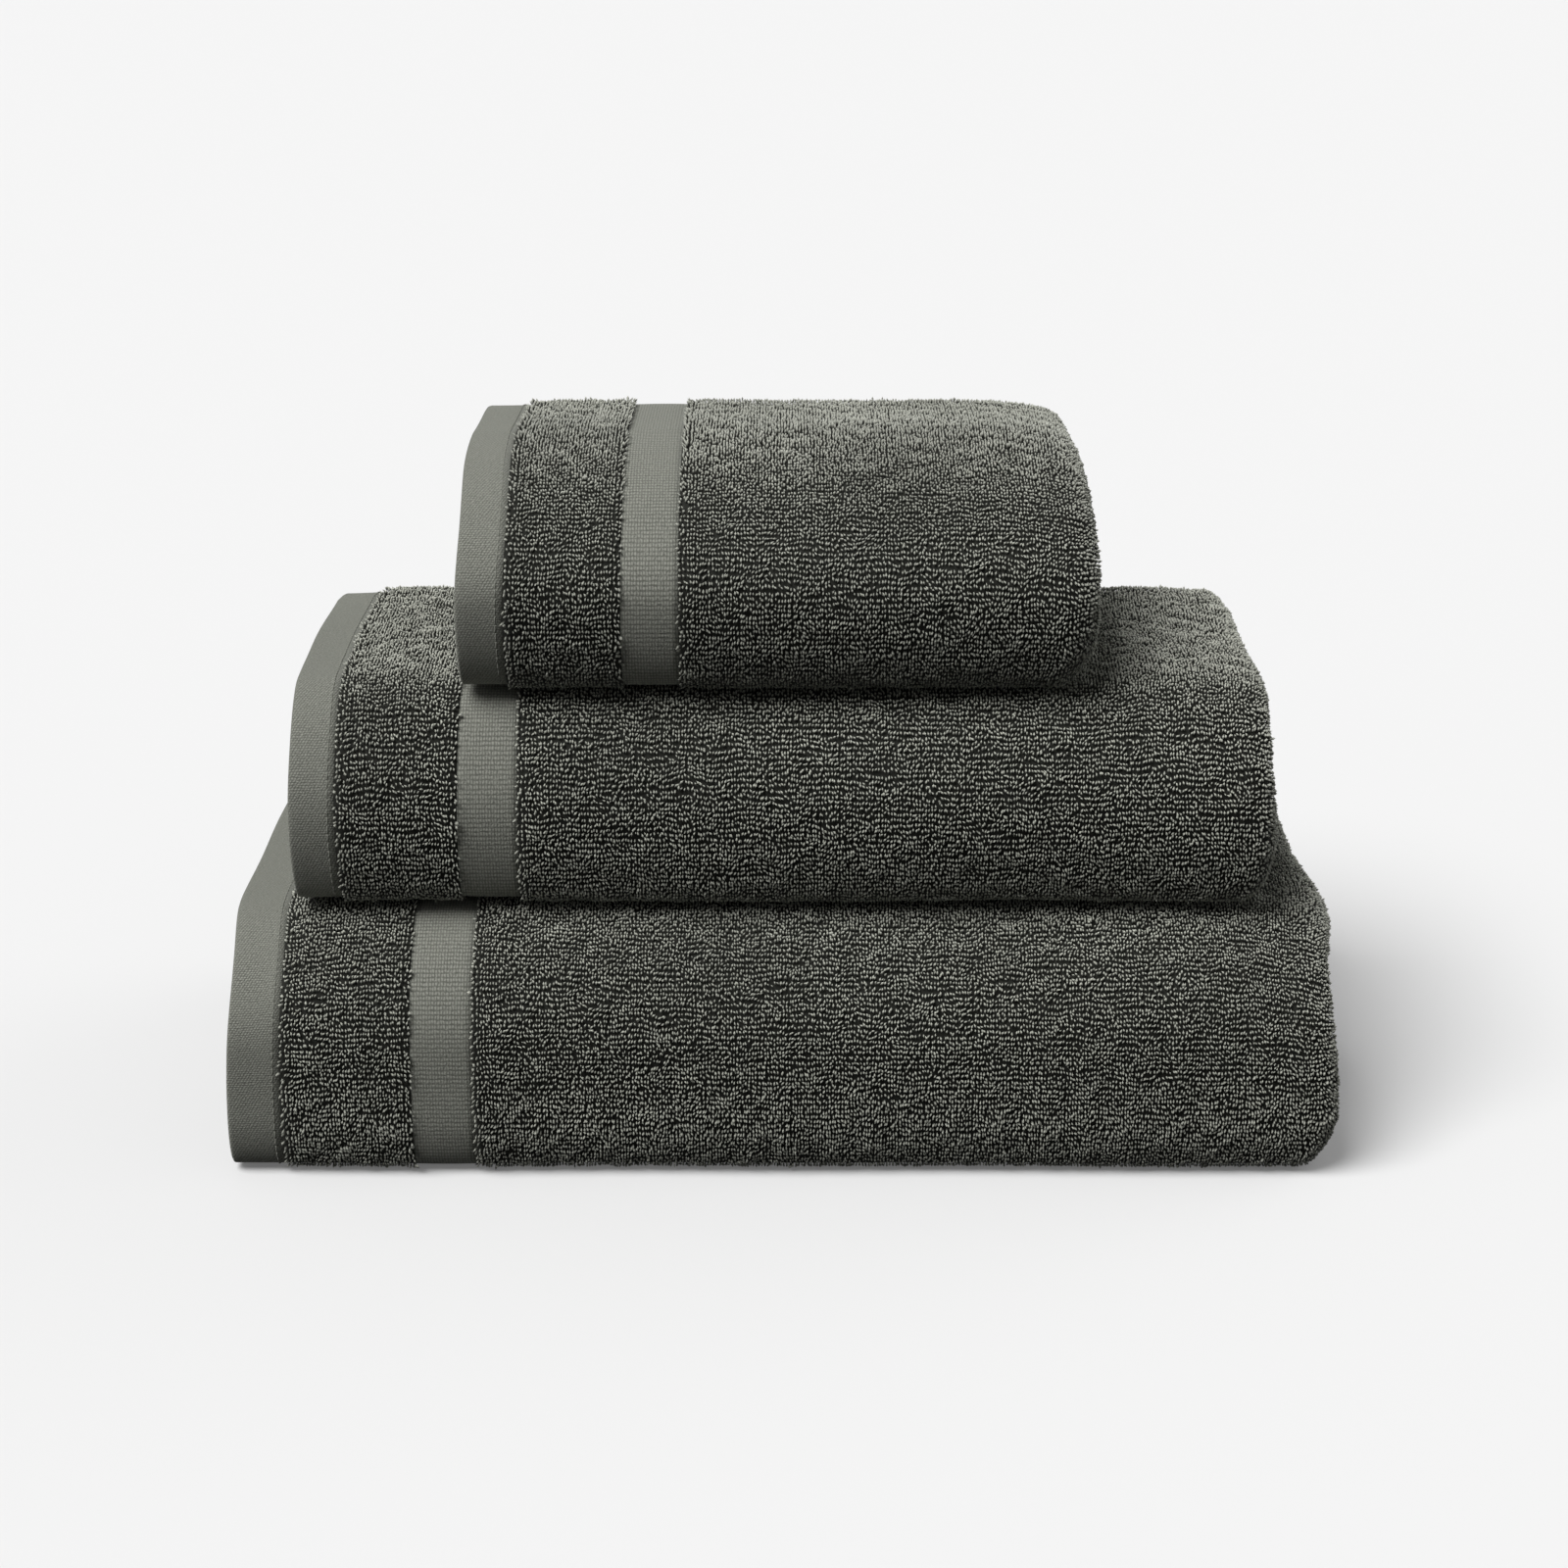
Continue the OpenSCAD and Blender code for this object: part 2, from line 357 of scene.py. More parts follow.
    def over_ground(self, x, w, h):
        """Points in space at a height h over the outer ply's ground weave. Past bend_x, the
        cloth turns round the folded end."""
        turn = np.clip((x - self.bend_x) / (self.end_r - PILE), 0, None)
        r = self.end_r - PILE + h
        turned = turn > 0
        flat_x = np.where(turned, self.bend_x + r * np.sin(turn), x)
        c = np.where(turned, self.group - self.end_r + r * np.cos(turn), self.ground + h)
        return self.place(flat_x, w, c)

    def over_near_fold(self, x, w, h):
        """The same over the inner fold at the hemmed end: x is from 0 to 1 round the fold."""
        angle = math.pi * x
        r = self.ply - PILE + h
        flat_x = FOLD_INSET + self.ply - r * np.sin(angle)
        return self.place(flat_x, w, self.ply - r * np.cos(angle))


def make_object(name, verts, faces):
    """A mesh object from arrays of points and of faces with the same number of corners."""
    mesh = bpy.data.meshes.new(name)
    mesh.vertices.add(len(verts))
    mesh.vertices.foreach_set("co", np.ascontiguousarray(verts, np.float32).ravel())
    mesh.loops.add(faces.size)
    mesh.loops.foreach_set("vertex_index", faces.astype(np.int32).ravel())
    mesh.polygons.add(len(faces))
    starts = np.arange(0, faces.size, faces.shape[1], dtype=np.int32)
    mesh.polygons.foreach_set("loop_start", starts)
    mesh.update(calc_edges=True)
    mesh.shade_smooth()
    piece = bpy.data.objects.new(name, mesh)
    bpy.context.collection.objects.link(piece)
    return piece


def face_outwards(piece):
    """Turns the faces of a closed piece outwards."""
    bm = bmesh.new()
    bm.from_mesh(piece.data)
    bmesh.ops.recalc_face_normals(bm, faces=bm.faces)
    bm.to_mesh(piece.data)
    bm.free()


def add_uv(piece, name, uv_of_vertices):
    """Gives a piece a UV map from one place for each vertex."""
    mesh = piece.data
    corner = np.empty(len(mesh.loops), np.int32)
    mesh.loops.foreach_get("vertex_index", corner)
    layer = mesh.uv_layers.new(name=name)
    layer.uv.foreach_set("vector", uv_of_vertices[corner].astype(np.float32).ravel())


def add_value(piece, name, values):
    """Gives a piece one number for each vertex, for its material to read."""
    attribute = piece.data.attributes.new(name, "FLOAT", "POINT")
    attribute.data.foreach_set("value", values.astype(np.float32))


def steps(marks, counts):
    """Rising values through marks, with counts[i] equal steps after marks[i]."""
    parts = [np.linspace(a, b, n, endpoint=False) for a, b, n in zip(marks, marks[1:], counts)]
    return np.concatenate(parts + [[marks[-1]]])


def width_places(towel, end=None):
    """Places along the cloth's width, closer together where it bends."""
    w = [0.0]
    for k, length in enumerate(towel.stretches):
        bends = k in (1, 3, 5, 7, 9)
        step = min(length / 8, 3 * MM) if bends else 7 * MM
        n = max(3, round(length / max(step, 0.4 * MM)))
        w += list(towel.starts[k] + length * np.arange(1, n + 1) / n)
    w = np.array(w)
    end = towel.width if end is None else end
    inside = w[(w > 0.3 * MM) & (w < end - 0.3 * MM)]
    return np.concatenate([[0], inside, [end]])


def grid_faces(rows, columns, first=0):
    """Quads between neighbouring places of a grid of points."""
    i, j = np.meshgrid(np.arange(rows - 1), np.arange(columns - 1), indexing="ij")
    a = (first + i * columns + j).ravel()
    return np.stack([a, a + columns, a + columns + 1, a + 1], 1)


def closed_slab(face_side, back_side):
    """Points and quads of a sheet with a thickness, from the two grids of its sides."""
    rows, columns = face_side.shape[:2]
    count = rows * columns
    verts = np.concatenate([face_side.reshape(-1, 3), back_side.reshape(-1, 3)])
    top = grid_faces(rows, columns)
    bottom = grid_faces(rows, columns, count)[:, ::-1]
    rim = np.concatenate([
        np.arange(columns),
        np.arange(1, rows) * columns + columns - 1,
        (rows - 1) * columns + np.arange(columns - 2, -1, -1),
        np.arange(rows - 2, 0, -1) * columns,
    ])
    after = np.roll(rim, -1)
    sides = np.stack([rim, after, after + count, rim + count], 1)
    return verts, np.concatenate([top, bottom, sides])


def tube_faces(n, m):
    """Quads of a closed outline of n points, carried through m places and capped at both ends."""
    i, j = np.meshgrid(np.arange(n), np.arange(m - 1), indexing="ij")
    a, b = (i * m + j).ravel(), (((i + 1) % n) * m + j).ravel()
    quads = [np.stack([a, b, b + 1, a + 1], 1)]
    k = np.arange(n // 2 - 1)
    for at in (0, m - 1):
        quads.append(np.stack([k, k + 1, n - 2 - k, n - 1 - k], 1) * m + at)
    return np.concatenate(quads)


# ---- materials -------------------------------------------------------------------------------

# Colours of the dyed cotton, in linear light.
SAGE = (0.405, 0.412, 0.358, 1)
# Painted shade: the near-black of loop roots, of the ground weave under them and of the pits in
# pressed terry, for the shadow deep in the pile.
SAGE_PAINTED_SHADE = (0.0085, 0.0088, 0.0072, 1)
SAGE_TIP = (0.700, 0.712, 0.622, 1)
# The paler end of the roots' painted shade.
ROOT_LIGHT = (0.030, 0.0308, 0.026, 1)
WEAVE = (0.208, 0.212, 0.184, 1)
# Woven cloth and thread are coloured towards the darker of these in dips and the lighter on
# crowns: painted shade.
WEAVE_DEEP = (0.072, 0.074, 0.063, 1)
WEAVE_LIGHT = (0.330, 0.336, 0.293, 1)
COTTON_GLOSS = 0.18
COTTON_SHEEN = 0.35
PILE_SHEEN = 0.6
ROOT_SHEEN = 0.1
SHEEN_ROUGHNESS = 0.45
SHEEN_TINT = (0.9, 0.92, 0.84, 1)
THREAD_WANDER = 0.9  # how far the weave's threads stray, in millimetres
THREAD_UNEVEN = 2.2  # how much their thickness varies, next to their own height
LOOP_DARKENING = 2.2  # how steeply a loop darkens towards its root: painted shade


def new_group(name, inputs, outputs):
    """An empty shader node group with named number or vector sockets."""
    group = bpy.data.node_groups.new(name, "ShaderNodeTree")
    for socket, kind, value in inputs:
        made = group.interface.new_socket(socket, in_out="INPUT", socket_type=f"NodeSocket{kind}")
        if value is not None:
            made.default_value = value
    for socket, kind in outputs:
        group.interface.new_socket(socket, in_out="OUTPUT", socket_type=f"NodeSocket{kind}")
    return group, group.nodes.new("NodeGroupInput"), group.nodes.new("NodeGroupOutput")


def maths(tree, operation, a, b=None, clamp=False):
    """A Math node. Each of a and b is a number or a socket."""
    node = tree.nodes.new("ShaderNodeMath")
    node.operation = operation
    node.use_clamp = clamp
    for socket, value in zip(node.inputs, (a, b)):
        if value is None:
            continue
        if isinstance(value, (int, float)):
            socket.default_value = value
        else:
            tree.links.new(value, socket)
    return node.outputs[0]


def noise_socket(tree, vector, scale, detail=3.0, roughness=0.55):
    """A Noise Texture's value at a vector."""
    node = tree.nodes.new("ShaderNodeTexNoise")
    node.inputs["Scale"].default_value = scale
    node.inputs["Detail"].default_value = detail
    node.inputs["Roughness"].default_value = roughness
    tree.links.new(vector, node.inputs["Vector"])
    return node.outputs["Fac"]


def mix_colours(tree, factor, a, b):
    """A Mix node for colours. Each of a and b is a colour or a socket."""
    node = tree.nodes.new("ShaderNodeMix")
    node.data_type = "RGBA"
    tree.links.new(factor, node.inputs["Factor"])
    for socket, value in ((node.inputs["A"], a), (node.inputs["B"], b)):
        if isinstance(value, tuple):
            socket.default_value = value
        else:
            tree.links.new(value, socket)
    return node.outputs["Result"]


def weave_group():
    """Threads crossing over and under: a height for the bump, and how worn each place is.

    The input vector is a place on the cloth in millimetres."""
    group, given, result = new_group(
        "thread_weave",
        [("Vector", "Vector", None), ("Pitch X", "Float", 0.8), ("Pitch W", "Float", 0.8),
         ("Slant", "Float", 0.0)],
        [("Height", "Float"), ("Wear", "Float")],
    )
    wander = group.nodes.new("ShaderNodeTexNoise")
    wander.inputs["Scale"].default_value = 0.55
    wander.inputs["Detail"].default_value = 2.0
    group.links.new(given.outputs["Vector"], wander.inputs["Vector"])
    pulled = group.nodes.new("ShaderNodeVectorMath")
    pulled.operation = "MULTIPLY_ADD"
    pulled.inputs[1].default_value = (THREAD_WANDER, THREAD_WANDER, 0)
    group.links.new(wander.outputs["Color"], pulled.inputs[0])
    group.links.new(given.outputs["Vector"], pulled.inputs[2])
    split = group.nodes.new("ShaderNodeSeparateXYZ")
    group.links.new(pulled.outputs["Vector"], split.inputs[0])
    slanted = maths(group, "ADD", split.outputs["X"],
                    maths(group, "MULTIPLY", split.outputs["Y"], given.outputs["Slant"]))
    turns_x = maths(group, "DIVIDE", slanted, given.outputs["Pitch X"])
    across = maths(group, "MULTIPLY", turns_x, math.pi)
    along = maths(group, "MULTIPLY",
                  maths(group, "DIVIDE", split.outputs["Y"], given.outputs["Pitch W"]), math.pi)
    crossing = maths(group, "MULTIPLY", maths(group, "SINE", across), maths(group, "SINE", along))
    ridge = maths(group, "ABSOLUTE", crossing)
    slubs = noise_socket(group, given.outputs["Vector"], 1.1, 5.0, 0.7)
    uneven = maths(group, "SUBTRACT", slubs, 0.5)
    height = maths(group, "ADD", ridge, maths(group, "MULTIPLY", uneven, THREAD_UNEVEN))
    group.links.new(height, result.inputs["Height"])
    wear = noise_socket(group, given.outputs["Vector"], 0.06, 3.0)
    group.links.new(wear, result.inputs["Wear"])
    return group


def cotton(name, roughness):
    """A new material with the soft sheen of cotton. Returns it with its tree and its shader."""
    material = bpy.data.materials.new(name)
    material.use_nodes = True
    shader = material.node_tree.nodes["Principled BSDF"]
    shader.inputs["Roughness"].default_value = roughness
    shader.inputs["Specular IOR Level"].default_value = COTTON_GLOSS
    shader.inputs["Sheen Weight"].default_value = COTTON_SHEEN
    shader.inputs["Sheen Roughness"].default_value = SHEEN_ROUGHNESS
    shader.inputs["Sheen Tint"].default_value = SHEEN_TINT
    return material, material.node_tree, shader


def attribute_socket(tree, name):
    """The value that a piece stores at its vertices."""
    node = tree.nodes.new("ShaderNodeAttribute")
    node.attribute_name = name
    return node.outputs["Fac"]


def terry_loop_material():
    """Looped cotton: each loop has its own shade, and darkens towards its root: painted shade for
    the shadow deep in the pile.
    """
    material, tree, shader = cotton("terry_loops", 0.9)
    shade = attribute_socket(tree, "shade")
    rise = attribute_socket(tree, "rise")
    lit = mix_colours(tree, shade, SAGE, SAGE_TIP)
    depth = maths(tree, "POWER", rise, LOOP_DARKENING)
    # Towards its root a loop sinks to that near-black: painted shade.
    colour = mix_colours(tree, depth, SAGE_PAINTED_SHADE, lit)
    tree.links.new(colour, shader.inputs["Base Color"])
    rough = maths(tree, "SUBTRACT", 0.98, maths(tree, "MULTIPLY", rise, 0.14))
    tree.links.new(rough, shader.inputs["Roughness"])
    tree.links.new(maths(tree, "MULTIPLY", depth, PILE_SHEEN), shader.inputs["Sheen Weight"])
    return material


def cloth_vector(tree):
    """A place on the cloth in millimetres, from the piece's own map in metres."""
    place = tree.nodes.new("ShaderNodeUVMap")
    place.uv_map = "cloth"
    scaled = tree.nodes.new("ShaderNodeVectorMath")
    scaled.operation = "SCALE"
    scaled.inputs["Scale"].default_value = 1 / MM
    tree.links.new(place.outputs["UV"], scaled.inputs[0])
    return scaled.outputs["Vector"]


def bumped(tree, shader, height, strength, distance):
    """Feeds a height through a Bump node to the shader's normal."""
    bump = tree.nodes.new("ShaderNodeBump")
    bump.inputs["Strength"].default_value = strength
    bump.inputs["Distance"].default_value = distance
    tree.links.new(height, bump.inputs["Height"])
    tree.links.new(bump.outputs["Normal"], shader.inputs["Normal"])


def woven_material(name, pitch_x, pitch_w, slant, strength):
    """Flat woven cotton: fine uneven threads, coloured darker where they dip in painted shade, and
    slow changes of shade. Pitches are in mm.
    """
    material, tree, shader = cotton(name, 0.82)
    threads = tree.nodes.new("ShaderNodeGroup")
    threads.node_tree = WEAVE_GROUP
    tree.links.new(cloth_vector(tree), threads.inputs["Vector"])
    threads.inputs["Pitch X"].default_value = pitch_x
    threads.inputs["Pitch W"].default_value = pitch_w
    threads.inputs["Slant"].default_value = slant
    # Darker where the threads dip, lighter on their crowns: painted shade over the bump.
    shade = mix_colours(tree, threads.outputs["Height"], WEAVE_DEEP, WEAVE_LIGHT)
    worn = maths(tree, "MULTIPLY", threads.outputs["Wear"], 0.6)
    tree.links.new(mix_colours(tree, worn, shade, WEAVE), shader.inputs["Base Color"])
    rough = maths(tree, "SUBTRACT", 0.95, maths(tree, "MULTIPLY", threads.outputs["Height"], 0.15))
    tree.links.new(rough, shader.inputs["Roughness"])
    bumped(tree, shader, threads.outputs["Height"], strength, 0.25 * MM)
    return material


def terry_ply_material():
    """Terry where its loops are pressed between plies: clumped pile as a bump, with painted shade
    in the pits between clumps.
    """
    material, tree, shader = cotton("terry_plies", 0.95)
    place = cloth_vector(tree)
    cells = tree.nodes.new("ShaderNodeTexVoronoi")
    cells.inputs["Scale"].default_value = 0.75
    cells.inputs["Randomness"].default_value = 0.9
    tree.links.new(place, cells.inputs["Vector"])
    pits = maths(tree, "MULTIPLY", cells.outputs["Distance"], 1.3, clamp=True)
    clumps = noise_socket(tree, place, 0.22, 4.0)
    shade = maths(tree, "ADD", pits, maths(tree, "MULTIPLY", clumps, 0.4), clamp=True)
    # Pits and the low parts of clumps are coloured darker: painted shade.
    tree.links.new(mix_colours(tree, shade, SAGE, SAGE_PAINTED_SHADE), shader.inputs["Base Color"])
    rough = maths(tree, "ADD", 0.85, maths(tree, "MULTIPLY", clumps, 0.15))
    tree.links.new(rough, shader.inputs["Roughness"])
    bumped(tree, shader, maths(tree, "SUBTRACT", 1.0, shade), 0.9, 1.2 * MM)
    return material


def root_material():
    """Ground weave at the roots of the loops, coloured near-black: painted shade for the shadow
    the loops cast on it.
    """
    material, tree, shader = cotton("terry_roots", 0.98)
    place = cloth_vector(tree)
    # A noise varies the roots' painted shade and gives their bump.
    root_noise = noise_socket(tree, place, 0.9, 4.0)
    tree.links.new(mix_colours(tree, root_noise, SAGE_PAINTED_SHADE, ROOT_LIGHT), shader.inputs["Base Color"])
    shader.inputs["Sheen Weight"].default_value = ROOT_SHEEN
    bumped(tree, shader, root_noise, 0.6, 0.4 * MM)
    return material


def thread_material():
    """Twisted sewing cotton, a little smoother than the cloth."""
    material, tree, shader = cotton("sewing_thread", 0.7)
    place = cloth_vector(tree)
    twist = tree.nodes.new("ShaderNodeTexWave")
    twist.inputs["Scale"].default_value = 1.4
    twist.inputs["Distortion"].default_value = 1.5
    twist.bands_direction = "DIAGONAL"
    tree.links.new(place, twist.inputs["Vector"])
    # The grooves of the twist are coloured darker: painted shade.
    tree.links.new(mix_colours(tree, twist.outputs["Fac"], WEAVE_DEEP, WEAVE_LIGHT),
                   shader.inputs["Base Color"])
    rough = maths(tree, "ADD", 0.6, maths(tree, "MULTIPLY", twist.outputs["Fac"], 0.2))
    tree.links.new(rough, shader.inputs["Roughness"])
    bumped(tree, shader, twist.outputs["Fac"], 0.5, 0.1 * MM)
    return material


WEAVE_GROUP = weave_group()
LOOPS = terry_loop_material()
PLIES = terry_ply_material()
ROOTS = root_material()
BAND = woven_material("woven_band", pitch_x=1.05, pitch_w=1.66, slant=0.0, strength=0.55)
HEM = woven_material("hem_twill", pitch_x=1.15, pitch_w=0.9, slant=0.55, strength=0.5)
THREAD = thread_material()


def finish_piece(piece, towel, material, slot, *nodes):
    """Gives a piece its material, puts it on its towel's body, and says which of the towel's nodes
    it stands for. The slot is not used."""
    piece.data.materials.append(material)
    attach(piece, towel.name)
    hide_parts(*[f"{towel.name}_{node}" for node in nodes])
    return piece


# ---- the folded cloth ------------------------------------------------------------------------


def cloth_path(towel):
    """The folded cloth's line in (x, c), seen from its open side.

    Each place has x, c, the direction its face side looks in, and the half thickness on its
    face side and on its back side. The second result is how far along the cloth it is."""
    p, bend = towel.ply, towel.bend_x
    full = p / 2 - PLY_GAP
    ground = p / 2 - PILE
    near_fold = FOLD_INSET + p
    rows = []

    def add(x, c, nx, nc, face, back):
        rows.append((x, c, nx, nc, face, back))

    border = [NEAR_INSET, towel.hem - 1 * MM, towel.hem,
              towel.band_start, towel.band_start + 0.5 * MM,
              towel.band_end - 0.5 * MM, towel.band_end, bend]
    for x in steps(border, [3, 1, 8, 1, 4, 1, 30]):
        in_hem = x < towel.hem - 0.5 * MM
        in_band = towel.band_start < x < towel.band_end
        if in_hem:
            add(x, 3.5 * p, 0, 1, ground - HEM_COVER, 2 * HEM_HALF - ground - HEM_COVER)
        else:
            add(x, 3.5 * p, 0, 1, ground - (BAND_DROP if in_band else 0), full)
    for a in np.linspace(0, math.pi, 13)[1:]:
        sin, cos = math.sin(a), math.cos(a)
        add(bend + 1.5 * p * sin, 2 * p + 1.5 * p * cos, sin, cos, ground, full)
    for x in steps([bend - 1 * MM, near_fold + 12 * MM, near_fold], [30, 4]):
        add(x, 0.5 * p, 0, -1, full, full)
    for a in np.linspace(0, math.pi, 11):
        sin, cos = math.sin(a), math.cos(a)
        add(near_fold - 0.5 * p * sin, p - 0.5 * p * cos, -sin, -cos, ground, full)
    for x in steps([near_fold + 1 * MM, near_fold + 12 * MM, bend], [4, 30]):
        add(x, 1.5 * p, 0, 1, full, full)
    for a in np.linspace(0, math.pi, 9)[1:]:
        sin, cos = math.sin(a), math.cos(a)
        add(bend + 0.5 * p * sin, 2 * p - 0.5 * p * cos, -sin, cos, full, full)
    far = FAR_INSET + NEAR_INSET
    far_hem = FAR_INSET + towel.hem
    for x in steps([bend - 1 * MM, far_hem, far_hem - 1 * MM, far], [30, 1, 3]):
        half = INNER_HALF if x < far_hem - 0.5 * MM else full
        add(x, 2.5 * p, 0, -1, half, half)
    path = np.array(rows)
    run = np.concatenate([[0], np.cumsum(np.hypot(*np.diff(path[:, :2], axis=0).T))])
    return path, run


def folded_cloth(towel):
    """The whole cloth in its folds, with the thickness of its plies."""
    path, run = cloth_path(towel)
    w = width_places(towel)
    x, c, nx, nc, face, back = (np.repeat(column, len(w)) for column in path.T)
    across = np.tile(w, len(path))
    from_side = np.minimum(across, towel.width - across)
    thin = smooth_step(from_side, SIDE_HEM - 1 * MM, SIDE_HEM)
    face = INNER_HALF + (face - INNER_HALF) * thin
    back = INNER_HALF + (back - INNER_HALF) * thin
    shape = (len(path), len(w), 3)
    face_side = towel.place(x + nx * face, across, c + nc * face).reshape(shape)
    back_side = towel.place(x - nx * back, across, c - nc * back).reshape(shape)
    verts, faces = closed_slab(face_side, back_side)
    piece = make_object(f"{towel.name}_folded_cloth", verts, faces)
    length = np.repeat(run, len(w))
    add_uv(piece, "cloth", np.tile(np.stack([length, across], 1), (2, 1)))
    half = np.stack([across / towel.width * 0.48 + 0.01, length / run[-1] * 0.98 + 0.01], 1)
    add_uv(piece, "OFBake", np.concatenate([half, half + [0.5, 0]]))
    finish_piece(piece, towel, PLIES, "terry", "inner_folds", "terry_field")
    # The outer ply, under the loops, takes the roots' painted shade; the inner plies take the
    # pressed terry.
    piece.data.materials.append(ROOTS)
    outer_rows = int(np.argmax(path[:, 1] < 0.51 * towel.ply))
    columns = len(w) - 1
    slots = np.zeros(len(faces), np.int32)
    slots[: outer_rows * columns] = 1
    piece.data.polygons.foreach_set("material_index", slots)
    face_outwards(piece)
    return piece


# ---- terry loops -----------------------------------------------------------------------------

# One loop: its root, four corners of its widest ring and its tip.
LOOP_FACES = np.array([
    [0, 2, 1], [0, 3, 2], [0, 4, 3], [0, 1, 4], [5, 1, 2], [5, 2, 3], [5, 3, 4], [5, 4, 1],
])
LOOP_RISE = np.array([0.0, 0.74, 0.74, 0.74, 0.74, 1.0])


def loop_places(x_range, w_range, step_x, step_w, rng):
    """The middles of loops in wavering rows."""
    columns = max(1, round((x_range[1] - x_range[0]) / step_x))
    rows = max(1, round((w_range[1] - w_range[0]) / step_w))
    i, j = np.meshgrid(np.arange(columns), np.arange(rows), indexing="ij")
    x = x_range[0] + (i.ravel() + 0.5) * (x_range[1] - x_range[0]) / columns
    w = w_range[0] + (j.ravel() + 0.5) * (w_range[1] - w_range[0]) / rows
    x += rng.normal(0, LOOP_WAVER_X, x.size) * step_x
    w += rng.normal(0, LOOP_WAVER_W, w.size) * step_w
    return x, w


def loop_shapes(towel, x, w, edges, rng):
    """Points of every loop as (x, w, h), with each loop's shade. Loops beside a pile edge lean
    out over the flat cloth next to it."""
    n = len(x)
    place = np.stack([x, w], 1)
    clump = soft_noise(place, CLUMP_SIZE, towel.seed + 5)
    drift_x = soft_noise(place, DRIFT_SIZE_X, towel.seed + 6)
    drift_w = soft_noise(place, DRIFT_SIZE_W, towel.seed + 7)
    patch = soft_noise(place, PATCH_SIZE, towel.seed + 8)
    w = w + ROW_DRIFT * drift_w
    tall = PILE * (0.97 + CLUMP_TALL * clump + rng.normal(0, TALL_SPREAD, n))
    tall = np.where(rng.random(n) < LONG_SHARE, tall * LONG_LOOP, tall)
    slant = np.radians(rng.normal(0, LOOP_SLANT, n) + DRIFT_SLANT * drift_x)
    lean_x = LEAN_DRIFT_X * drift_x + rng.normal(0, LEAN_SPREAD_X, n) * MM
    lean_w = LEAN_DRIFT_W * drift_w + rng.normal(0, LEAN_SPREAD_W, n) * MM
    for edge, way in edges:
        close = np.clip(1.3 - np.abs(x - edge) / EDGE_REACH, 0, 1)
        lean_x += way * close * (EDGE_LEAN + rng.normal(0, EDGE_LEAN_SPREAD, n)) * MM
        tall += close * rng.normal(EDGE_TALL, EDGE_TALL, n) * MM
    pressed = 1 - smooth_step(w, towel.starts[1] + 2 * MM, towel.starts[2])
    tall *= 1 - LOOP_PRESSED * pressed
    size = 1 + rng.normal(0, LOOP_SPREAD, n)
    half_x, half_w = LOOP_HALF_X * size, LOOP_HALF_W * size
    cos, sin = np.cos(slant), np.sin(slant)
    middle_x, middle_w = x + RING_LEAN * lean_x, w + RING_LEAN * lean_w
    ring_h = LOOP_RISE[1] * tall
    points = np.stack([
        np.stack([x, w, np.full(n, -LOOP_SINK)], 1),
        np.stack([middle_x + half_x * cos, middle_w + half_x * sin, ring_h], 1),
        np.stack([middle_x - half_w * sin, middle_w + half_w * cos, ring_h], 1),
        np.stack([middle_x - half_x * cos, middle_w - half_x * sin, ring_h], 1),
        np.stack([middle_x + half_w * sin, middle_w - half_w * cos, ring_h], 1),
        np.stack([x + lean_x, w + lean_w, tall], 1),
    ], 1)
    # The towel's own lift of all its loops is painted light; patches, clumps and each loop's
    # spread vary the shade of single loops.
    shade = 0.5 + towel.tone + PATCH_SHADE * patch + CLUMP_SHADE * clump
    return points, np.clip(shade + rng.normal(0, SHADE_SPREAD, n), 0, 1)


def terry_pile(towel, name, x_range, w_range, node, edges=(), fold_map=None):
    """Terry loops over a stretch of the cloth, in as many pieces as their number needs."""
    fold_map = fold_map or towel.over_ground
    step_x = LOOP_STEP_X
    if fold_map == towel.over_near_fold:
        step_x = LOOP_STEP_X / (math.pi * (towel.ply - PILE))
    count = (x_range[1] - x_range[0]) / step_x * (w_range[1] - w_range[0]) / LOOP_STEP_W
    parts = math.ceil(count / LOOPS_IN_A_PIECE)
    marks = np.linspace(*w_range, parts + 1)
    made = []
    for k in range(parts):
        rng = np.random.default_rng([towel.seed, k, round(count)])
        x, w = loop_places(x_range, marks[k:k + 2], step_x, LOOP_STEP_W, rng)
        points, shade = loop_shapes(towel, x, w, edges, rng)
        if fold_map == towel.over_near_fold:
            points[:, :, 0] = x[:, None] + (points[:, :, 0] - x[:, None]) * (step_x / LOOP_STEP_X)
        flat = points.reshape(-1, 3)
        inside = np.clip(flat[:, 1], 0, towel.width)
        verts = fold_map(flat[:, 0], inside, flat[:, 2])
        first = np.arange(len(x))[:, None, None] * len(LOOP_RISE)
        faces = (LOOP_FACES[None] + first).reshape(-1, 3)
        part_name = f"{towel.name}_{name}" + (f"_{k + 1}" if parts > 1 else "")
        piece = make_object(part_name, verts, faces)
        shades = np.repeat(shade, len(LOOP_RISE))
        rises = np.tile(LOOP_RISE, len(x))
        add_value(piece, "shade", shades)
        add_value(piece, "rise", rises)
        add_uv(piece, "OFBake", np.stack([0.05 + 0.9 * shades, 0.05 + 0.9 * rises], 1))
        finish_piece(piece, towel, LOOPS, "terry", node)
        made.append(piece)
    return made


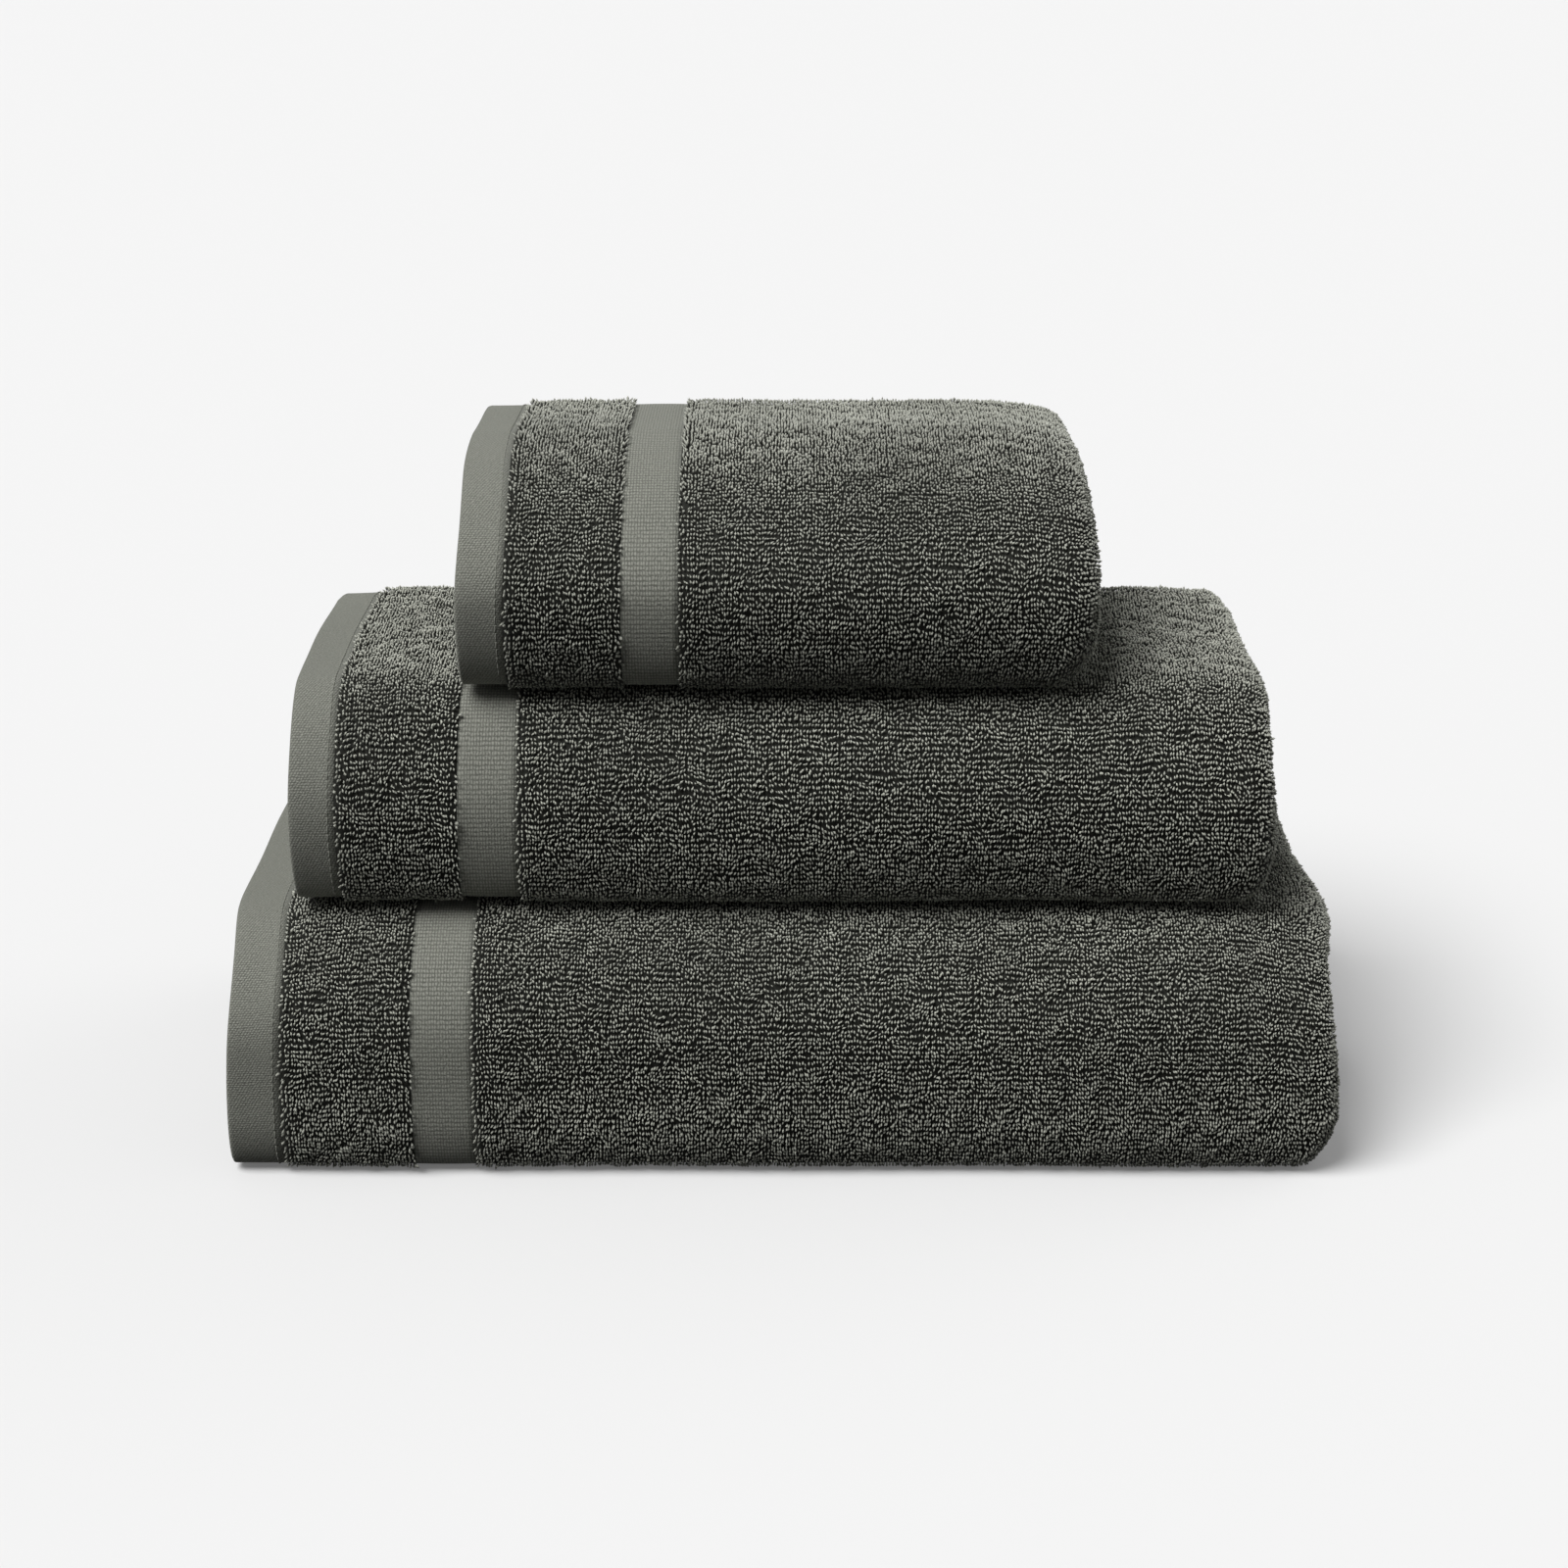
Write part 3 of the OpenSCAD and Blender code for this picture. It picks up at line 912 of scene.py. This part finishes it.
def terry_pieces(towel):
    """All the pile that can be seen: the border strip, the field, the folded end and the
    inner folds at the hemmed end."""
    starts = towel.starts
    low = max(starts[1] - UNDER_REACH, 0)
    back = starts[6] - PILE_MARGIN
    strip = (towel.hem + EDGE_INSET, towel.band_start - EDGE_INSET)
    field = (towel.band_end + EDGE_INSET, towel.bend_x)
    end = (towel.bend_x, towel.bend_x + math.pi * (towel.end_r - PILE))
    across = (PILE_MARGIN, towel.width - PILE_MARGIN)
    pieces = terry_pile(towel, "border_strip_pile", strip, (low, back), "border_strip",
                        [(strip[0], -1), (strip[1], 1)])
    for name, w_range in (("front_pile", (low, starts[4])),
                          ("top_pile", (starts[4], starts[5])),
                          ("back_fold_pile", (starts[5], back))):
        pieces += terry_pile(towel, name, field, w_range, "terry_field", [(field[0], -1)])
    pieces += terry_pile(towel, "folded_end_pile", end, across, "terry_field")
    pieces += terry_pile(towel, "inner_fold_pile", FOLD_SHARE, across, "inner_folds",
                         fold_map=towel.over_near_fold)
    return pieces


# ---- hems, band and stitches -------------------------------------------------------------------


def sleeve_outline(edge, end, c, half):
    """A turned hem's outline in (x, c): flat on both sides, and round at the cloth's edge."""
    angles = np.radians(np.linspace(90, 270, 9))
    nose = [(edge + half * (1 + math.cos(a)), c + half * math.sin(a)) for a in angles]
    flats = np.linspace(edge + half, end, 6)[1:]
    upper = [(x, c + half) for x in flats[::-1]]
    lower = [(x, c - half) for x in flats]
    return upper + nose + lower


def turned_hem(towel, name, edge, c, node):
    """A turned hem along the cloth's end, in every layer of the folded width."""
    w = width_places(towel)
    outline = sleeve_outline(edge, edge + towel.hem, c, HEM_HALF)
    xs, cs = (np.repeat(column, len(w)) for column in np.array(outline).T)
    across = np.tile(w, len(outline))
    verts = towel.place(xs, across, cs)
    piece = make_object(f"{towel.name}_{name}", verts, tube_faces(len(outline), len(w)))
    run = np.cumsum([0] + [math.dist(a, b) for a, b in zip(outline, outline[1:])])
    add_uv(piece, "cloth", np.stack([np.repeat(run, len(w)), across], 1))
    face_outwards(piece)
    return finish_piece(piece, towel, HEM, "flat_weave", node)


def woven_band(towel):
    """The flat band, wrapped round the outside of the fold."""
    w = width_places(towel, towel.starts[6])
    x = np.linspace(towel.band_start - BAND_LAP, towel.band_end + BAND_LAP, 9)
    xs, ws = np.repeat(x, len(w)), np.tile(w, len(x))
    shape = (len(x), len(w), 3)
    crown = BAND_CROWN * np.cos((xs - x.mean()) / (x[-1] - x[0]) * math.pi)
    top = towel.over_ground(xs, ws, crown).reshape(shape)
    bottom = towel.over_ground(xs, ws, crown - BAND_THICK).reshape(shape)
    verts, faces = closed_slab(top, bottom)
    piece = make_object(f"{towel.name}_flat_band", verts, faces)
    add_uv(piece, "cloth", np.tile(np.stack([xs, ws], 1), (2, 1)))
    face_outwards(piece)
    return finish_piece(piece, towel, BAND, "flat_weave", "woven_band")


def side_hems(towel):
    """The turned long edges of the cloth, in every ply of its folded length."""
    path, run = cloth_path(towel)
    angles = np.radians(np.linspace(90, 270, 7))
    half = HEM_HALF
    outline = [(SIDE_HEM, half), (SIDE_HEM / 2, half)]
    outline += [(half * (1 + math.cos(a)), half * math.sin(a)) for a in angles]
    outline += [(SIDE_HEM / 2, -half), (SIDE_HEM, -half)]
    outline = np.array(outline)
    n, m = len(outline), len(path)
    verts, faces, places = [], [], []
    for side in (0, 1):
        w = outline[:, 0] if side == 0 else towel.width - outline[:, 0]
        across = np.repeat(w, m)
        off = np.repeat(outline[:, 1], m)
        x, c, nx, nc = (np.tile(column, n) for column in path.T[:4])
        verts.append(towel.place(x + nx * off, across, c + nc * off))
        faces.append(tube_faces(n, m) + side * n * m)
        places.append(np.stack([np.tile(run, n), across], 1))
    verts, faces = np.concatenate(verts), np.concatenate(faces)
    piece = make_object(f"{towel.name}_turned_side_hems", verts, faces)
    add_uv(piece, "cloth", np.concatenate(places))
    face_outwards(piece)
    return finish_piece(piece, towel, HEM, "flat_weave", "side_hems")


STITCH_LENGTH = 2.6 * MM
STITCH_STEP = 3.1 * MM
THREAD_R = 0.24 * MM
END_STITCH_INSET = 2.4 * MM  # rows of stitches run this far in from a hem's inner edge
SIDE_STITCH_INSET = 2 * MM
STITCH_LIFT = 0.06 * MM

# One stitch: where each of its rings is along it, how wide it is and how far it rises, in
# shares of the stitch's length and of the thread's radius.
STITCH_RINGS = [
    (-0.5, 0.25, -0.35), (-0.38, 1.0, 0.1), (0, 1.0, 0.45), (0.38, 1.0, 0.1), (0.5, 0.25, -0.35),
]
X_AXIS = np.array([1, 0, 0])
W_AXIS = np.array([0, 1, 0])
H_AXIS = np.array([0, 0, 1])


def stitch_points(centres, along, across):
    """Points and faces of short rounded stitches. Each axis is a unit vector in cloth space."""
    sides = np.arange(6) * math.pi / 3
    shape = []
    for at, wide, rise in STITCH_RINGS:
        for a in sides:
            shape.append(STITCH_LENGTH * at * along + THREAD_R * wide * math.cos(a) * across
                         + THREAD_R * (rise + wide * math.sin(a)) * H_AXIS)
    shape = np.array(shape)
    faces = []
    for ring in range(len(STITCH_RINGS) - 1):
        for k in range(6):
            a, b = ring * 6 + k, ring * 6 + (k + 1) % 6
            faces.append([a, b, b + 6, a + 6])
    last = 6 * (len(STITCH_RINGS) - 1)
    faces += [[0, 5, 4, 3], [0, 3, 2, 1], [last, last + 1, last + 2, last + 3],
              [last, last + 3, last + 4, last + 5]]
    points = centres[:, None, :] + shape[None]
    index = np.array(faces)[None] + np.arange(len(centres))[:, None, None] * len(shape)
    return points.reshape(-1, 3), index.reshape(-1, 4)


def row_of_stitches(towel, name, centres, along, across, node):
    """Stitches at places in cloth space, laid on the folded towel."""
    points, faces = stitch_points(centres, along, across)
    inside = np.clip(points[:, 1], 0, towel.width)
    verts = towel.over_ground(points[:, 0], inside, points[:, 2])
    piece = make_object(f"{towel.name}_{name}", verts, faces)
    add_uv(piece, "cloth", points[:, :2])
    face_outwards(piece)
    return finish_piece(piece, towel, THREAD, "sewing_thread", node)


def end_hem_stitches(towel):
    """A row of stitches along the inner edge of the end hem."""
    w = np.arange(2 * MM, towel.starts[6], STITCH_STEP)
    x = np.full(len(w), towel.hem - END_STITCH_INSET)
    centres = np.stack([x, w, np.full(len(w), STITCH_LIFT)], 1)
    return row_of_stitches(towel, "end_hem_stitches", centres, W_AXIS, X_AXIS, "end_hem_thread")


def side_hem_stitches(towel):
    """A row of stitches on the side hem of the outer ply, along the bottom of the back."""
    x = np.arange(towel.hem, towel.bend_x, STITCH_STEP)
    w = np.full(len(x), SIDE_HEM - SIDE_STITCH_INSET)
    over = HEM_HALF - (towel.ply / 2 - PILE)
    centres = np.stack([x, w, np.full(len(x), over)], 1)
    return row_of_stitches(towel, "side_hem_stitches", centres, X_AXIS, W_AXIS, "side_hem_thread")


def build_towel(towel):
    """Every piece of one towel: its cloth, and what is on it."""
    cloth = folded_cloth(towel)
    pieces = terry_pieces(towel)
    hem_c = 3.5 * towel.ply + (towel.ply / 2 - PILE) - HEM_HALF
    pieces.append(turned_hem(towel, "turned_end_hem", 0, hem_c, "end_hem"))
    pieces.append(turned_hem(towel, "far_end_hem", FAR_INSET, 2.5 * towel.ply, "far_end_border"))
    pieces.append(woven_band(towel))
    pieces.append(side_hems(towel))
    pieces.append(end_hem_stitches(towel))
    pieces.append(side_hem_stitches(towel))
    return cloth


bath_sheet = Towel("bath_sheet", above="bath_towel")
bath_towel = Towel("bath_towel", above="hand_towel", below=bath_sheet)
hand_towel = Towel("hand_towel", below=bath_towel)
sheet_cloth = build_towel(bath_sheet)
bath_cloth = build_towel(bath_towel)
build_towel(hand_towel)


# ---- floor, light and camera -------------------------------------------------------------------

FLOOR_SIZE = 120
FLOOR_COLOUR = (0.66, 0.66, 0.66, 1)
FLOOR_GLOW = 0.12
SKY = 0.27  # light from above, and from below the horizon
GROUND = 0.03
SKY_RISE = 2.2  # how fast the light grows from the horizon upwards
BACKDROP = (0.905, 0.905, 0.905, 1)
CAMERA_PLACE = (0, -1.1675, 0.4917)
CAMERA_PITCH = 17.91  # degrees down
CAMERA_LENS = 73.5


def pale_floor():
    """A wide pale floor, which throws no light back at the towels. Its own glow, which evens
    it out, shows to the camera alone."""
    bpy.ops.mesh.primitive_plane_add(size=FLOOR_SIZE, location=(0, 0, 0))
    floor = bpy.context.object
    floor.name = "floor"
    material = bpy.data.materials.new("floor_paper")
    material.use_nodes = True
    tree = material.node_tree
    shader = tree.nodes["Principled BSDF"]
    shader.inputs["Base Color"].default_value = FLOOR_COLOUR
    shader.inputs["Roughness"].default_value = 1.0
    shader.inputs["Specular IOR Level"].default_value = 0.0
    shader.inputs["Emission Color"].default_value = (1, 1, 1, 1)
    rays = tree.nodes.new("ShaderNodeLightPath")
    glow = maths(tree, "MULTIPLY", rays.outputs["Is Camera Ray"], FLOOR_GLOW)
    tree.links.new(glow, shader.inputs["Emission Strength"])
    floor.data.materials.append(material)
    floor.visible_diffuse = False


def studio_world(sky, ground):
    """Light that is strongest from above, and little from below. The camera sees a pale
    backdrop."""
    world = bpy.data.worlds.new("studio")
    bpy.context.scene.world = world
    world.use_nodes = True
    tree = world.node_tree
    background = tree.nodes["Background"]
    place = tree.nodes.new("ShaderNodeTexCoord")
    split = tree.nodes.new("ShaderNodeSeparateXYZ")
    tree.links.new(place.outputs["Generated"], split.inputs[0])
    up = maths(tree, "MULTIPLY", split.outputs["Z"], SKY_RISE, clamp=True)
    colour = mix_colours(tree, up, (ground, ground, ground, 1), (sky, sky, sky, 1))
    rays = tree.nodes.new("ShaderNodeLightPath")
    seen = mix_colours(tree, rays.outputs["Is Camera Ray"], colour, BACKDROP)
    tree.links.new(seen, background.inputs["Color"])


def soft_light(name, strength, softness, aim):
    """A broad soft light as from a big window, softness degrees wide and shining along aim."""
    data = bpy.data.lights.new(name, "SUN")
    data.energy = strength
    data.angle = math.radians(softness)
    lamp = bpy.data.objects.new(name, data)
    lamp.rotation_mode = "QUATERNION"
    lamp.rotation_quaternion = Vector(aim).to_track_quat("-Z", "Y")
    bpy.context.collection.objects.link(lamp)


def studio_camera():
    """A view from a little above the front, through a long lens."""
    data = bpy.data.cameras.new("camera")
    data.sensor_width = 36
    data.lens = CAMERA_LENS
    camera = bpy.data.objects.new("camera", data)
    camera.location = CAMERA_PLACE
    camera.rotation_euler = (math.radians(90 - CAMERA_PITCH), 0, 0)
    bpy.context.collection.objects.link(camera)
    bpy.context.scene.camera = camera


pale_floor()
studio_world(SKY, GROUND)
soft_light("key", strength=3.45, softness=36, aim=(0.61, 0.56, -1.20))
soft_light("fill", strength=0.75, softness=55, aim=(-1.0, -0.50, -0.20))
studio_camera()
bpy.context.scene.view_settings.view_transform = "Standard"
